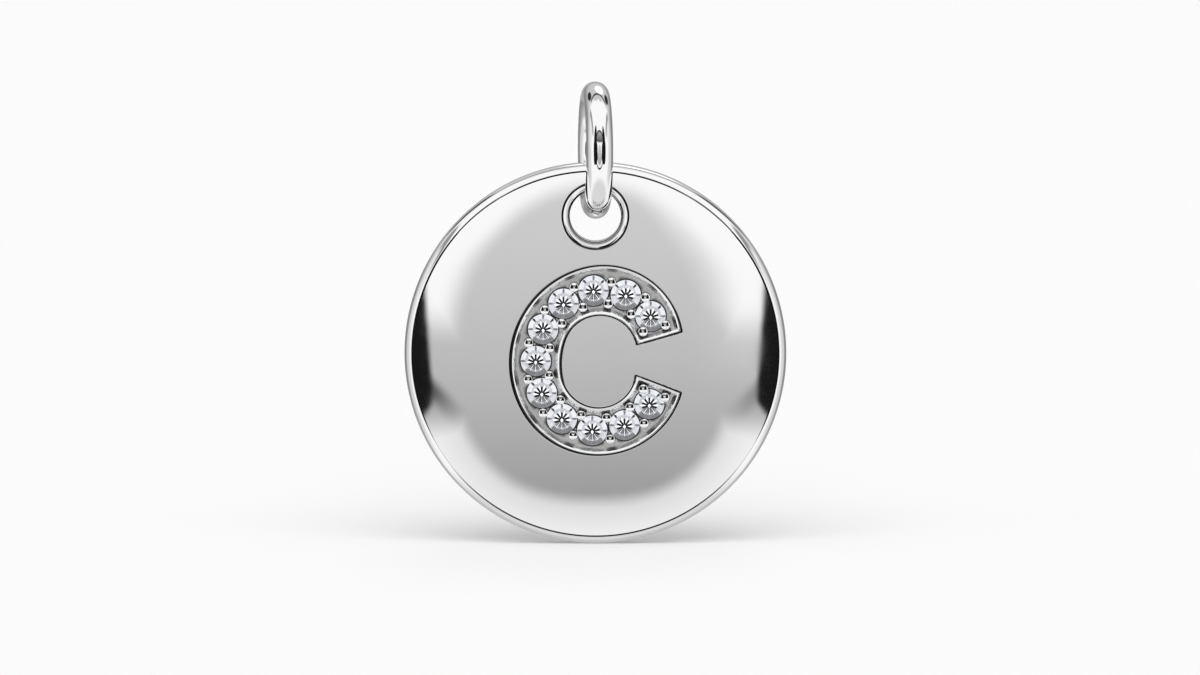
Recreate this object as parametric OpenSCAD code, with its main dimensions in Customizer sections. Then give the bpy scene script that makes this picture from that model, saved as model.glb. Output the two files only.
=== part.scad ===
// Round pendant with a domed face and a recessed letter C set with a row of
// brilliant-cut stones. It hangs by a hole near its rim from a plain jump ring.
// Millimetres. Z is up and the face looks towards -Y. The origin is the highest
// point inside the jump ring, where a chain bears on it.

/* [Disc] */
// Outside diameter of the disc
disc_d = 16; // [14:0.1:24]
// Thickness of the disc at its rim
rim_t = 1.2; // [1:0.05:2]
// Width of the rounded rim, seen from the front
rim_w = 0.335; // [0.2:0.005:0.45]
// Height of the domed face above the rim
dome_rise = 0.6; // [0.3:0.05:1]
// Rounding of the rim's back edge
back_round = 0.25; // [0.1:0.05:0.35]

/* [Hanging hole] */
// Diameter of the hanging hole
hole_d = 2.15; // [1.8:0.05:3]
// Width of the hole's rounded front edge, seen from the front
hole_edge_w = 0.295; // [0.15:0.005:0.4]
// Chamfer on the hole's back edge
hole_back_w = 0.25; // [0.1:0.05:0.35]
// Metal between the hole and the disc's outside
hole_margin = 1.145; // [0.9:0.005:1.8]

/* [Jump ring] */
// Diameter of the ring's round wire
wire_d = 1.12; // [0.8:0.02:1.3]
// Inside diameter of the ring
ring_inner_d = 3.5; // [3.2:0.05:6]
// Turn of the ring about the vertical, in degrees
ring_turn = 4.5; // [0:0.5:12]
// Running gap between the wire and the top of the hole
hang_gap = 0.05; // [0.03:0.01:0.12]

/* [Letter] */
// Face left between the hole's edge and the top of the letter
letter_top_gap = 0.68; // [0.4:0.01:2]
// Face left between the foot of the letter and the disc's outside
letter_foot_gap = 3.79; // [1.5:0.01:5]
// Width of the letter's stroke at the top and the foot
stroke_w = 2.02; // [1.9:0.01:2.4]
// Depth of the recess
cut_depth = 0.3; // [0.2:0.01:0.4]
// Width of the recess's sloping wall, seen from the front
cut_wall_w = 0.27; // [0.1:0.01:0.35]
// Angle of the upper end of the stroke above the level, in degrees
end_top_angle = 16; // [5:0.5:35]
// Angle of the lower end of the stroke below the level, in degrees
end_low_angle = 21.5; // [5:0.5:35]

/* [Stones] */
// Diameter of the stones
stone_d = 1.3; // [1:0.01:1.4]
// Least room between two stones in the row
stone_room = 0.05; // [0.02:0.01:0.3]
// Face left between the last stone and the end of the stroke
stone_end_gap = 0.3; // [0.25:0.01:0.8]
// Thickness of a stone at its girdle
girdle_t = 0.03; // [0.02:0.005:0.06]
// Gap between a stone and its seat
seat_gap = 0.02; // [0.01:0.005:0.05]

/* [Grains] */
// Diameter of a setting grain
grain_d = 0.4; // [0.3:0.01:0.5]
// Height of a grain's domed top
grain_dome_h = 0.13; // [0.08:0.01:0.15]
// How far a grain between two stones reaches over their edges
grain_hold = 0.03; // [0.01:0.01:0.08]
// How far a grain at the end of the row reaches over the last stone
end_grain_hold = 0.14; // [0.05:0.01:0.2]

/* [Hidden] */

// Slope at which a rounded edge leaves the face, and where the hole's edge ends
EDGE_START = 25;
EDGE_END = 75;
// Small overlap that keeps two cuts or two joined forms from just touching
LAP = 0.004;

// Cut of the stones: table width as a share of the diameter, crown and pavilion
// angles, and how near the lower facets come to the point, as a share
TABLE_SHARE = 0.57;
CROWN_ANGLE = 34.5;
PAVILION_ANGLE = 40.75;
LOWER_SHARE = 0.23;
FACETS = 8;
// Turn of the stones, which puts the line between two kite facets straight up
STONE_TURN = 22.5;

// Where the end grains sit about the last stone, from the way the stroke runs
END_GRAIN_TURN = 43;

// Round parts
FINE = 96;
ARC_FINE = 1440;
// Angle between samples of the stroke's middle line
WALK_STEP = 2;

// The letter's two outlines. Each is three arcs that run smoothly into each
// other, in shares of the outline's height and measured from the letter's middle:
// [side arc's centre, side arc's radius, join with the top arc, top arc's radius,
//  join with the foot arc, foot arc's radius]
OUTER_SHAPE = [[0.077, -0.016], 0.52, 106, 0.409, 209, 0.45];
INNER_SHAPE = [[0.404, -0.03], 0.782, 161.5, 0.408, 190.5, 0.405];
// The point that both ends of the stroke aim at, in shares of the letter's height
AIM_SHARE = [-0.026, 0.018];

// The disc, in its own frame: X across, Y up and Z towards the viewer, from the back
disc_r = disc_d / 2;
crease_r = disc_r - rim_w;
rim_arc_r = rim_w / (1 - sin(EDGE_START));
rim_arc_z = rim_t - rim_arc_r * cos(EDGE_START);
dome_r = (crease_r ^ 2 + dome_rise ^ 2) / (2 * dome_rise);
dome_z = rim_t + dome_rise - dome_r;
beyond = 2 * rim_t + dome_rise;

// Height of the face at a distance from the disc's middle
function face_z(r) = dome_z + sqrt(dome_r ^ 2 - r ^ 2);
// Slope of the face at a distance from the disc's middle
function face_slope(r) = asin(r / dome_r);

// The hanging hole, with its rounded edge square to the face
hole_r = hole_d / 2;
hole_y = disc_r - hole_margin - hole_r;
hole_tilt = face_slope(hole_y);
hole_crease_r = hole_r + hole_edge_w;
// How far the rounded edge runs in past the bore, which isn't tilted as it is
edge_lap = LAP + hole_edge_w * sin(hole_tilt) + hole_r * (1 - cos(hole_tilt));
hole_arc_r = (hole_edge_w + edge_lap) / (sin(EDGE_END) - sin(EDGE_START));
hole_edge_depth = hole_arc_r * (cos(EDGE_START) - cos(EDGE_END));
// Drop of the dome across the hole's edge
hole_sag = hole_crease_r ^ 2 / (2 * dome_r);
// Slope and depth at which the rounded edge meets the bore
edge_meet = asin(sin(EDGE_START) + hole_edge_w / hole_arc_r);
edge_drop = hole_arc_r * (cos(EDGE_START) - cos(edge_meet));

// The straight wall at the top of the hole, and its middle, where the ring is centred
hole_wall_top = face_z(hole_y + hole_crease_r) + hole_edge_w * sin(hole_tilt) - edge_drop;
hole_mid_z = (hole_back_w + hole_wall_top) / 2;
hole_wall_half = (hole_wall_top - hole_back_w) / 2;

// The jump ring
wire_r = wire_d / 2;
ring_inner_r = ring_inner_d / 2;
ring_mean_r = ring_inner_r + wire_r;
ring_z = -ring_inner_r;
// Lowest part of the ring's inside where it leaves the hole's wall
bearing_z = ring_z - sqrt(ring_inner_r ^ 2 - hole_wall_half ^ 2);
disc_z = bearing_z + hang_gap - hole_r - hole_y;

// The letter
letter_top = hole_y - hole_crease_r - letter_top_gap;
letter_foot = letter_foot_gap - disc_r;
letter_h = letter_top - letter_foot;
letter_y = (letter_top + letter_foot) / 2;
counter_h = letter_h - 2 * stroke_w;
wall_lean = cut_wall_w / cut_depth;
aim = [0, letter_y] + AIM_SHARE * letter_h;

function along(angle) = [cos(angle), sin(angle)];

// An outline at its real size
function outline(shape, h) =
    [[0, letter_y] + shape[0] * h, shape[1] * h, shape[2], shape[3] * h, shape[4], shape[5] * h];
outer = outline(OUTER_SHAPE, letter_h);
inner = outline(INNER_SHAPE, counter_h);

// An outline's centres, radii and joins by name
function side_c(o) = o[0];
function side_r(o) = o[1];
function top_join(o) = o[2];
function top_r(o) = o[3];
function low_join(o) = o[4];
function low_r(o) = o[5];
function top_c(o) = side_c(o) + (side_r(o) - top_r(o)) * along(top_join(o));
function low_c(o) = side_c(o) + (side_r(o) - low_r(o)) * along(low_join(o));

// How far a line from the aim point runs before it meets a circle
function reach(c, r, angle) =
    let (to_c = c - aim, ahead = to_c * along(angle))
    ahead + sqrt(r ^ 2 - to_c * to_c + ahead ^ 2);
function turn_of(v) = (atan2(v.y, v.x) + 360) % 360;
// How far a line from the aim point runs before it meets an outline
function outline_reach(o, angle) =
    let (side = reach(side_c(o), side_r(o), angle),
         from_side = aim + side * along(angle) - side_c(o),
         turn = turn_of(from_side))
    turn > top_join(o) && turn < low_join(o) ? side
    : from_side.y > 0 ? reach(top_c(o), top_r(o), angle)
    : reach(low_c(o), low_r(o), angle);
function middle_reach(angle) = (outline_reach(outer, angle) + outline_reach(inner, angle)) / 2;
function middle(angle) = aim + middle_reach(angle) * along(angle);

// The row of stones, evenly spaced along the middle of the stroke. The first and
// the last stand clear of the ends, measured square to them.
stone_r = stone_d / 2;
end_margin = stone_r + stone_end_gap;
row_start = end_top_angle + asin(end_margin / middle_reach(2 * end_top_angle));
row_end = 360 - end_low_angle - asin(end_margin / middle_reach(360 - 2 * end_low_angle));
walk_n = ceil((row_end - row_start) / WALK_STEP);
function walk_angle(i) = row_start + (row_end - row_start) * i / walk_n;
function walk_step(i) = norm(middle(walk_angle(i)) - middle(walk_angle(i - 1)));
// Distance walked along the row and the angle reached, sample by sample
walk = [for (i = 0, s = 0; i <= walk_n; i = i + 1, s = s + walk_step(i)) [s, walk_angle(i)]];
row_len = walk[walk_n][0];
stone_n = floor(row_len / (stone_d + stone_room)) + 1;
stone_pitch = row_len / (stone_n - 1);
function stone_at(i) = middle(lookup(i * stone_pitch, walk));
function stone_name(i) = str("stone_", i < 9 ? "0" : "", i + 1);

// A stone from its girdle's top edge: its crown above, its pavilion below
table_r = TABLE_SHARE * stone_r;
crown_h = (stone_r - table_r) * tan(CROWN_ANGLE);
pavilion_h = stone_r * tan(PAVILION_ANGLE);

// The grains stand from the recess's floor to the face, with a root in the metal
grain_r = grain_d / 2;
grain_h = cut_depth;
grain_side_h = grain_h - grain_dome_h;
grain_dome_r = (grain_r ^ 2 + grain_dome_h ^ 2) / (2 * grain_dome_h);
grain_root = grain_r / 2;

// Puts the disc's own frame in its place behind the ring's plane
module in_place() {
    translate([0, hole_mid_z, disc_z]) rotate([90, 0, 0]) children();
}

// Stands children on the dome at a point, some depth below the face
module on_dome(p, depth) {
    r = dome_r - depth;
    tilt = asin(norm(p) / r);
    heading = turn_of(p);
    translate([0, 0, dome_z])
        rotate([0, 0, heading]) rotate([0, tilt, 0]) rotate([0, 0, -heading])
            translate([0, 0, r]) children();
}

// Half section of the plate before it is cut
module plate_section() {
    intersection() {
        square([crease_r, beyond]);
        translate([0, dome_z]) circle(r = dome_r, $fn = ARC_FINE);
    }
    difference() {
        intersection() {
            translate([crease_r - rim_w, 0]) square([2 * rim_w, rim_t]);
            union() {
                square([disc_r, rim_arc_z]);
                translate([disc_r - rim_arc_r, rim_arc_z]) circle(r = rim_arc_r, $fn = FINE);
            }
        }
        difference() {
            translate([disc_r - back_round, 0]) square(back_round);
            translate([disc_r - back_round, back_round]) circle(r = back_round, $fn = FINE);
        }
    }
}

module plate() {
    rotate_extrude($fn = 2 * FINE) plate_section();
}

// Everything below the recess's floor
module under_floor() {
    rotate_extrude($fn = 2 * FINE) intersection() {
        square([crease_r, beyond]);
        translate([0, dome_z]) circle(r = dome_r - cut_depth, $fn = ARC_FINE);
    }
}

// Part of a round tapering block inside one arc of an outline. Its radius is r
// at height z and grows by lean for each millimetre above that.
module arc_block(c, r, from, sweep, z, lean) {
    low = z - 2 * cut_depth;
    high = z + cut_depth;
    translate(c) rotate([0, 0, from]) rotate_extrude(angle = sweep, $fn = 2 * FINE)
        polygon([[0, low], [r - 2 * cut_depth * lean, low], [r + cut_depth * lean, high], [0, high]]);
}

// A tapering block inside a whole outline. The side's own block keeps just inside
// the others at the joins.
module outline_block(o, z, lean) {
    arc_block(top_c(o), top_r(o), 0, 360, z, lean);
    arc_block(low_c(o), low_r(o), 0, 360, z, lean);
    arc_block(side_c(o), side_r(o) - LAP, top_join(o), low_join(o) - top_join(o), z, lean);
}

// Half space on one side of an end of the stroke, its face leaning like the walls
module end_side(angle, side) {
    far = disc_d;
    mid_r = (outline_reach(outer, angle) + outline_reach(inner, angle)) / 2;
    lean_angle = atan(1 / wall_lean);
    translate([aim.x, aim.y, face_z(mid_r) + mid_r * tan(face_slope(mid_r))])
        rotate([0, 0, angle]) rotate([0, face_slope(mid_r), 0]) rotate([side * (90 - lean_angle), 0, 0])
            translate([-far, side > 0 ? -far : 0, -far]) cube([2 * far, far, 2 * far]);
}

// The face between the two ends of the stroke
module mouth() {
    intersection() {
        end_side(end_top_angle, 1);
        end_side(-end_low_angle, -1);
        translate([aim.x, letter_foot, 0]) cube([disc_r, letter_h, beyond]);
    }
}

// What is cut away for the letter
module letter_recess() {
    difference() {
        outline_block(outer, face_z(letter_h / 2), wall_lean);
        outline_block(inner, face_z(counter_h / 2), -wall_lean);
        mouth();
        under_floor();
    }
}

// One grain, a short round post with a domed top, from the floor's level
module grain() {
    rotate_extrude($fn = FINE / 2) intersection() {
        translate([0, -grain_root]) square([grain_r, grain_root + grain_h]);
        union() {
            translate([0, -grain_root]) square([grain_r, grain_root + grain_side_h]);
            translate([0, grain_h - grain_dome_r]) circle(r = grain_dome_r, $fn = 2 * FINE);
        }
    }
}

module grain_at(p) {
    on_dome(p, cut_depth) grain();
}

// The two grains where two stones meet
module pair_grains(p, q) {
    half = norm(q - p) / 2;
    run = (q - p) / (2 * half);
    across = [-run.y, run.x];
    off = sqrt(max(0, (stone_r + grain_r - grain_hold) ^ 2 - half ^ 2));
    for (side = [-1, 1])
        grain_at((p + q) / 2 + side * off * across);
}

// The two grains past a last stone, next to the end of the stroke
module end_grains(p, way) {
    away = stone_r + grain_r - end_grain_hold;
    for (side = [-1, 1])
        grain_at(p + away * along(way + side * END_GRAIN_TURN));
}

module grains() {
    for (i = [0 : stone_n - 2])
        pair_grains(stone_at(i), stone_at(i + 1));
    end_grains(stone_at(0), end_top_angle - 90);
    end_grains(stone_at(stone_n - 1), 90 - end_low_angle);
}

// The space that a stone and its gap take up
module seat() {
    g = seat_gap;
    r = stone_r + g;
    crown_foot = g / cos(CROWN_ANGLE) - g * tan(CROWN_ANGLE);
    top = crown_h + g;
    top_edge_r = stone_r - (top - g / cos(CROWN_ANGLE)) / tan(CROWN_ANGLE);
    pavilion_edge = -girdle_t - g / cos(PAVILION_ANGLE) + g * tan(PAVILION_ANGLE);
    point = -girdle_t - pavilion_h - g / cos(PAVILION_ANGLE);
    rotate_extrude($fn = FINE)
        polygon([[0, point], [r, pavilion_edge], [r, crown_foot], [top_edge_r, top], [0, top]]);
}

module seats() {
    for (i = [0 : stone_n - 1])
        on_dome(stone_at(i), cut_depth) seat();
}

// What is cut away for the hanging hole: the bore with its back chamfer, and
// the rounded front edge, which stands square to the domed face
module hanging_hole() {
    translate([0, hole_y, -beyond]) cylinder(r = hole_r, h = 3 * beyond, $fn = FINE);
    translate([0, hole_y, -hole_back_w])
        cylinder(r1 = hole_r + 2 * hole_back_w, r2 = hole_r, h = 2 * hole_back_w, $fn = FINE);
    on_dome([0, hole_y], hole_sag + hole_edge_depth / 2) translate([0, 0, hole_edge_depth / 2])
        rotate_extrude($fn = FINE) difference() {
            translate([0, -hole_edge_depth]) square([hole_crease_r, hole_edge_depth + dome_rise]);
            translate([hole_crease_r + hole_arc_r * sin(EDGE_START), -hole_arc_r * cos(EDGE_START)])
                circle(r = hole_arc_r, $fn = 2 * FINE);
        }
}

module disc() {
    color("silver") in_place() difference() {
        union() {
            difference() {
                plate();
                letter_recess();
            }
            grains();
        }
        seats();
        hanging_hole();
    }
}

module jump_ring() {
    color("lightgray") translate([0, 0, ring_z]) rotate([0, 0, ring_turn]) rotate([0, 90, 0])
        rotate_extrude($fn = 2 * FINE) translate([ring_mean_r, 0]) circle(r = wire_r, $fn = FINE);
}

// A point at a distance and angle about the stone's axis
function spot(r, angle, z) = [r * cos(angle), r * sin(angle), z];

// A round brilliant from its girdle's top edge: a table, star and kite facets and
// upper halves above, and lower halves and main facets below
module brilliant() {
    half = 180 / FACETS;
    n = FACETS;
    star_r = (table_r * cos(half) + stone_r) / 2;
    star_z = (stone_r - star_r * cos(half)) * tan(CROWN_ANGLE);
    low_r = LOWER_SHARE * stone_r;
    low_z = -girdle_t - (stone_r - low_r * cos(half)) * tan(PAVILION_ANGLE);
    points = concat(
        [for (k = [0 : n - 1]) spot(table_r, 2 * half * k, crown_h)],
        [for (k = [0 : n - 1]) spot(star_r, 2 * half * k + half, star_z)],
        [for (k = [0 : 2 * n - 1]) spot(stone_r, half * k, 0)],
        [for (k = [0 : 2 * n - 1]) spot(stone_r, half * k, -girdle_t)],
        [for (k = [0 : n - 1]) spot(low_r, 2 * half * k + half, low_z)],
        [[0, 0, -girdle_t - pavilion_h]]);
    star = n;
    upper = 2 * n;
    lower = 4 * n;
    side = 6 * n;
    culet = 7 * n;
    // For each sector: itself, the next and the last one, and its three girdle points
    around = [for (k = [0 : n - 1])
        [k, (k + 1) % n, (k + n - 1) % n, 2 * k, 2 * k + 1, (2 * k + 2) % (2 * n)]];
    rim = [for (k = [0 : 2 * n - 1]) [k, (k + 1) % (2 * n)]];
    faces = concat(
        [[for (k = [0 : n - 1]) n - 1 - k]],
        [for (a = around) [a[0], a[1], star + a[0]]],
        [for (a = around) [a[0], star + a[0], upper + a[3], star + a[2]]],
        [for (a = around) [star + a[0], upper + a[4], upper + a[3]]],
        [for (a = around) [star + a[0], upper + a[5], upper + a[4]]],
        [for (e = rim) [upper + e[0], upper + e[1], lower + e[1], lower + e[0]]],
        [for (a = around) [lower + a[3], lower + a[4], side + a[0]]],
        [for (a = around) [lower + a[4], lower + a[5], side + a[0]]],
        [for (a = around) [lower + a[3], side + a[0], culet, side + a[2]]]);
    polyhedron(points = points, faces = faces);
}

module stone(i) {
    color("white") in_place() on_dome(stone_at(i), cut_depth) rotate([0, 0, STONE_TURN]) brilliant();
}

disc();
jump_ring();
for (i = [0 : stone_n - 1])
    stone(i);
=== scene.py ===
import math

import bpy
import numpy as np
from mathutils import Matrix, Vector, kdtree
from mathutils.geometry import delaunay_2d_cdt


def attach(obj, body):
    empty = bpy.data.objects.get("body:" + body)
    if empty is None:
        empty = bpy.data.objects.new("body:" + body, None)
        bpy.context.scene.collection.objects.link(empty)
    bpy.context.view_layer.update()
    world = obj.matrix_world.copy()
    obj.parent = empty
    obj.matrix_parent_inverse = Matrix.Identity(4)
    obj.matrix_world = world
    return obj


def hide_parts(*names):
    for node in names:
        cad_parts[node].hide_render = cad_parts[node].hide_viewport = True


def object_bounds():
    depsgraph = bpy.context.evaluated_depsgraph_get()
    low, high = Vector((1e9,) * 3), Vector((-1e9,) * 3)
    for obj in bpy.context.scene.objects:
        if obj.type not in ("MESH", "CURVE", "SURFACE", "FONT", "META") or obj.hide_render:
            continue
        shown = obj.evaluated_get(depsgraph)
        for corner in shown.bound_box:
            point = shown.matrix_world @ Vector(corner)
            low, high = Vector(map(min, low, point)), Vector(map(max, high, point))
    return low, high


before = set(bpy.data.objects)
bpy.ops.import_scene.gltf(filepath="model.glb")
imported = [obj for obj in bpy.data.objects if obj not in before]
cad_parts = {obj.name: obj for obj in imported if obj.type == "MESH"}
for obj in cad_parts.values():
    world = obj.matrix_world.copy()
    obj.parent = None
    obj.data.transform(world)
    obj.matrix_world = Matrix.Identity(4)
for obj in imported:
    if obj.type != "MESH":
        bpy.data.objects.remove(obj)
cad_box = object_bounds()

MM = 0.001

# Sizes of the CAD model that the pieces here follow, in millimetres and degrees
DISC_R = 8.0
RIM_T = 1.2
RIM_W = 0.335
DOME_RISE = 0.6
BACK_ROUND = 0.25
HOLE_R = 1.075
HOLE_EDGE_W = 0.295
HOLE_BACK_W = 0.25
HOLE_MARGIN = 1.145
WIRE_R = 0.56
RING_INNER_R = 1.75
RING_TURN = 4.5
HANG_GAP = 0.05
LETTER_TOP_GAP = 0.68
LETTER_FOOT_GAP = 3.79
STROKE_W = 2.02
CUT_DEPTH = 0.3
CUT_WALL_W = 0.27
END_TOP = 16.0
END_LOW = 21.5
STONE_R = 0.65
STONE_ROOM = 0.05
STONE_END_GAP = 0.3
GIRDLE_T = 0.03
SEAT_GAP = 0.02
GRAIN_R = 0.2
GRAIN_HOLD = 0.03
END_GRAIN_HOLD = 0.14
END_GRAIN_TURN = 43.0
EDGE_START = 25.0
EDGE_END = 75.0
LAP = 0.004
TABLE_SHARE = 0.57
CROWN_ANGLE = 34.5
PAVILION_ANGLE = 40.75
# Outlines as shares of their height: middle and radius of the side arc, and for the top and the
# low arc the angle where it joins the side and its radius
OUTER_SHAPE = ((0.077, -0.016), 0.52, 106.0, 0.409, 209.0, 0.45)
INNER_SHAPE = ((0.404, -0.03), 0.782, 161.5, 0.408, 190.5, 0.405)
AIM_SHARE = (-0.026, 0.018)

UP = np.array([0.0, 0.0, 1.0])
rad, deg = math.radians, math.degrees


def sin(a):
    return math.sin(rad(a))


def cos(a):
    return math.cos(rad(a))


def tan(a):
    return math.tan(rad(a))


def along(angle):
    return np.array([cos(angle), sin(angle)])


CREASE_R = DISC_R - RIM_W
RIM_ARC_R = RIM_W / (1 - sin(EDGE_START))
RIM_ARC_Z = RIM_T - RIM_ARC_R * cos(EDGE_START)
DOME_R = (CREASE_R ** 2 + DOME_RISE ** 2) / (2 * DOME_RISE)
DOME_Z = RIM_T + DOME_RISE - DOME_R


def sphere_z(x, y, depth=0.0):
    """Height of the face, or of the sphere at a depth under it."""
    return DOME_Z + np.sqrt((DOME_R - depth) ** 2 - x ** 2 - y ** 2)


def face_slope(r):
    return deg(math.asin(r / DOME_R))


HOLE_Y = DISC_R - HOLE_MARGIN - HOLE_R
HOLE_TILT = face_slope(HOLE_Y)
HOLE_CREASE_R = HOLE_R + HOLE_EDGE_W
BACK_OPENING = HOLE_R + HOLE_BACK_W
EDGE_LAP = LAP + HOLE_EDGE_W * sin(HOLE_TILT) + HOLE_R * (1 - cos(HOLE_TILT))
HOLE_ARC_R = (HOLE_EDGE_W + EDGE_LAP) / (sin(EDGE_END) - sin(EDGE_START))
HOLE_EDGE_DEPTH = HOLE_ARC_R * (cos(EDGE_START) - cos(EDGE_END))
HOLE_SAG = HOLE_CREASE_R ** 2 / (2 * DOME_R)
EDGE_MEET = deg(math.asin(sin(EDGE_START) + HOLE_EDGE_W / HOLE_ARC_R))
EDGE_DROP = HOLE_ARC_R * (cos(EDGE_START) - cos(EDGE_MEET))
HOLE_WALL_TOP = (float(sphere_z(HOLE_Y + HOLE_CREASE_R, 0.0))
                 + HOLE_EDGE_W * sin(HOLE_TILT) - EDGE_DROP)
HOLE_MID_Z = (HOLE_BACK_W + HOLE_WALL_TOP) / 2
HOLE_WALL_HALF = (HOLE_WALL_TOP - HOLE_BACK_W) / 2
SEAT_R = STONE_R + SEAT_GAP
RING_MEAN_R = RING_INNER_R + WIRE_R
RING_Z = -RING_INNER_R
BEARING_Z = RING_Z - math.sqrt(RING_INNER_R ** 2 - HOLE_WALL_HALF ** 2)
DISC_Z = BEARING_Z + HANG_GAP - HOLE_R - HOLE_Y

LETTER_TOP = HOLE_Y - HOLE_CREASE_R - LETTER_TOP_GAP
LETTER_FOOT = LETTER_FOOT_GAP - DISC_R
LETTER_H = LETTER_TOP - LETTER_FOOT
LETTER_Y = (LETTER_TOP + LETTER_FOOT) / 2
COUNTER_H = LETTER_H - 2 * STROKE_W
WALL_LEAN = CUT_WALL_W / CUT_DEPTH
AIM = np.array([0.0, LETTER_Y]) + np.array(AIM_SHARE) * LETTER_H


class Outline:
    """Three arcs that run smoothly into each other."""

    def __init__(self, shape, h):
        centre, side_r, self.top_join, top_r, self.low_join, low_r = shape
        self.side_c = np.array([0.0, LETTER_Y]) + np.array(centre) * h
        self.side_r, self.top_r, self.low_r = side_r * h, top_r * h, low_r * h
        self.top_c = self.side_c + (self.side_r - self.top_r) * along(self.top_join)
        self.low_c = self.side_c + (self.side_r - self.low_r) * along(self.low_join)
        self.level = float(sphere_z(h / 2, 0.0))

    def gap(self, x, y):
        """How far a point lies outside the outline, below zero inside it."""
        top = np.hypot(x - self.top_c[0], y - self.top_c[1]) - self.top_r
        low = np.hypot(x - self.low_c[0], y - self.low_c[1]) - self.low_r
        sx, sy = x - self.side_c[0], y - self.side_c[1]
        turn = np.degrees(np.arctan2(sy, sx)) % 360
        side = np.hypot(sx, sy) - self.side_r
        ends = np.minimum(top, low)
        inside = (turn > self.top_join) & (turn < self.low_join)
        return np.where(inside, np.minimum(ends, side), ends)

    def reach(self, angle):
        """How far a line from the aim point runs before it meets the outline."""
        def to_circle(c, r):
            to_c = c - AIM
            ahead = float(to_c @ along(angle))
            return ahead + math.sqrt(r ** 2 - float(to_c @ to_c) + ahead ** 2)
        side = to_circle(self.side_c, self.side_r)
        from_side = AIM + side * along(angle) - self.side_c
        turn = deg(math.atan2(from_side[1], from_side[0])) % 360
        if self.top_join < turn < self.low_join:
            return side
        if from_side[1] > 0:
            return to_circle(self.top_c, self.top_r)
        return to_circle(self.low_c, self.low_r)


outer = Outline(OUTER_SHAPE, LETTER_H)
inner = Outline(INNER_SHAPE, COUNTER_H)


def middle_reach(angle):
    return (outer.reach(angle) + inner.reach(angle)) / 2


def middle(angle):
    return AIM + middle_reach(angle) * along(angle)


def stone_places():
    margin = STONE_R + STONE_END_GAP
    start = END_TOP + deg(math.asin(margin / middle_reach(2 * END_TOP)))
    end = 360 - END_LOW - deg(math.asin(margin / middle_reach(360 - 2 * END_LOW)))
    n = math.ceil((end - start) / 2)
    angles = np.linspace(start, end, n + 1)
    points = np.array([middle(a) for a in angles])
    walked = np.concatenate([[0], np.cumsum(np.linalg.norm(np.diff(points, axis=0), axis=1))])
    count = math.floor(walked[-1] / (2 * STONE_R + STONE_ROOM)) + 1
    at = np.linspace(0, walked[-1], count)
    return [middle(a) for a in np.interp(at, walked, angles)]


STONES = stone_places()


def grain_places():
    places = []
    for p, q in zip(STONES, STONES[1:]):
        half = np.linalg.norm(q - p) / 2
        run = (q - p) / (2 * half)
        across = np.array([-run[1], run[0]])
        off = math.sqrt(max(0, (STONE_R + GRAIN_R - GRAIN_HOLD) ** 2 - half ** 2))
        places += [(p + q) / 2 + side * off * across for side in (-1, 1)]
    away = STONE_R + GRAIN_R - END_GRAIN_HOLD
    for p, way in ((STONES[0], END_TOP - 90), (STONES[-1], 90 - END_LOW)):
        places += [p + away * along(way + side * END_GRAIN_TURN) for side in (-1, 1)]
    return places


GRAINS = grain_places()


def dome_frame(p, depth):
    """Origin and axes of a frame that stands on the sphere at a depth under the face."""
    r = DOME_R - depth
    p = np.array(p, float)
    tilt, heading = math.asin(np.linalg.norm(p) / r), math.atan2(p[1], p[0])
    ch, sh, ct, st = math.cos(heading), math.sin(heading), math.cos(tilt), math.sin(tilt)
    rz = np.array([[ch, -sh, 0], [sh, ch, 0], [0, 0, 1]])
    ry = np.array([[ct, 0, st], [0, 1, 0], [-st, 0, ct]])
    turn = rz @ ry @ rz.T
    return np.array([0, 0, DOME_Z]) + turn @ np.array([0, 0, r]), turn


# The finished face, as a height over the disc's own plane. How soft the edges are:
EDGE_SOFT = 0.03
FOOT_SOFT = 0.03
CORNER_SOFT = 0.03
FAR_IN = -9.0
NORMAL_STEP = 0.0005
# Inside the scribed line a bright bevel leads to the steeper wall
BEVEL_IN = 0.03
BEVEL_W = 0.105
BEVEL_FALL = 0.66
WALL_IN = BEVEL_IN + BEVEL_W
BEVEL_H = BEVEL_W * BEVEL_FALL
VIEW_LEAN = (CUT_WALL_W - WALL_IN) / (CUT_DEPTH - BEVEL_H)
# The scribed line round the recess: a shallow groove that is also painted dark as shade, wider on
# the left, where its painted shade stands for a darker reflection, and finer round the counter
LINE_DEPTH = 0.022
LINE_HALF = 0.032
LINE_OFF = 0.008
LINE_LEFT_GAIN = 0.6
LINE_LEFT_REACH = 3.0
LINE_LEFT_START = 0.1
LINE_COUNTER_SHARE = 0.75
COUNTER_ZONE = 0.3
# The wall's small waves: height, waves in a turn and phase, and the slow beat of the first
LONG_WAVE = (0.0035, 61, 1.3)
LONG_BEAT = 17
FINE_WAVE = (0.0025, 97, 0.4)
WAVE_MIDDLE_X = 0.4
# Painted shade in rings round the grains' feet, and where the satin starts
FOOT_PAINTED_SHADE_W = 0.05
FOOT_PAINTED_SHADE = 0.34
FLOOR_BLEND_W = 0.04
SATIN_START = 0.01
SATIN_BLEND_W = 0.05


def bell(u):
    return np.exp(-u * u)


def smooth(t):
    t = np.clip(t, 0, 1)
    return t * t * (3 - 2 * t)


def soft_min(a, b, k):
    q = np.maximum(k - np.abs(a - b), 0) / k
    return np.minimum(a, b) - q * q * k / 4


def soft_max(a, b, k):
    return -soft_min(-a, -b, k)


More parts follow.
